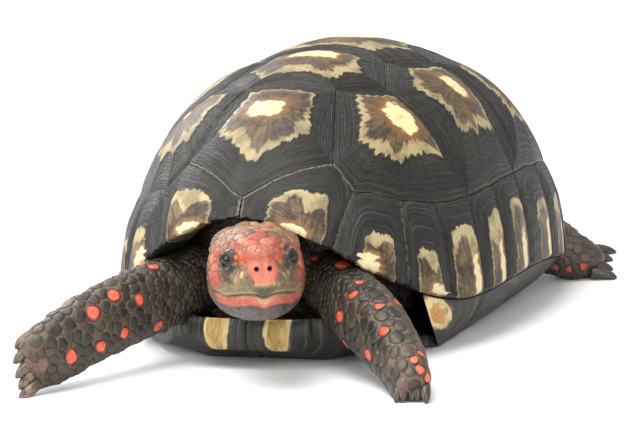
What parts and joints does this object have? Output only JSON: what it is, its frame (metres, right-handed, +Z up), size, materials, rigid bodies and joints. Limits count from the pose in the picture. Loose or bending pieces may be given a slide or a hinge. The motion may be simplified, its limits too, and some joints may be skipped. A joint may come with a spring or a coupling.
{
  "type": "red-footed tortoise, still life-size museum model",
  "caption": "Life-size still model of an adult red-footed tortoise walking low on its plastron, head turned a little to its left, forelegs reaching forward.",
  "frame": {"origin": "middle of the whole model's box on the floor under the animal", "axes": "-Y the way the animal faces, +X its left side, +Z up"},
  "size_m": [0.1909, 0.3076, 0.1141],
  "materials": {
    "carapace": null,
    "plastron": null,
    "skin": null,
    "head_skin": null,
    "horn": null,
    "eye": "wet black eye with a dark brown iris"
  },
  "bodies": {
    "root": {"vertebral_1": "carapace", "vertebral_2": "carapace", "vertebral_3": "carapace", "vertebral_4": "carapace", "vertebral_5": "carapace", "costal_left_1": "carapace", "costal_left_2": "carapace", "costal_left_3": "carapace", "costal_left_4": "carapace", "marginal_left_1": "carapace", "marginal_left_2": "carapace", "marginal_left_3": "carapace", "marginal_left_4": "carapace", "marginal_left_5": "carapace", "marginal_left_6": "carapace", "marginal_left_7": "carapace", "marginal_left_8": "carapace", "marginal_left_9": "carapace", "marginal_left_10": "carapace", "marginal_left_11": "carapace", "costal_right_1": "carapace", "costal_right_2": "carapace", "costal_right_3": "carapace", "costal_right_4": "carapace", "marginal_right_1": "carapace", "marginal_right_2": "carapace", "marginal_right_3": "carapace", "marginal_right_4": "carapace", "marginal_right_5": "carapace", "marginal_right_6": "carapace", "marginal_right_7": "carapace", "marginal_right_8": "carapace", "marginal_right_9": "carapace", "marginal_right_10": "carapace", "marginal_right_11": "carapace", "supracaudal": "carapace", "plastron_gular_left": "plastron", "plastron_humeral_left": "plastron", "plastron_pectoral_left": "plastron", "plastron_abdominal_left": "plastron", "plastron_femoral_left": "plastron", "plastron_anal_left": "plastron", "plastron_gular_right": "plastron", "plastron_humeral_right": "plastron", "plastron_pectoral_right": "plastron", "plastron_abdominal_right": "plastron", "plastron_femoral_right": "plastron", "plastron_anal_right": "plastron", "trunk": "skin", "neck": "skin", "front_leg_left": "skin", "front_leg_right": "skin", "hind_leg_left": "skin", "hind_leg_right": "skin", "tail": "skin", "head": "head_skin", "lower_jaw": "horn", "eye_left": "eye", "eye_right": "eye"}
  },
  "joints": []
}
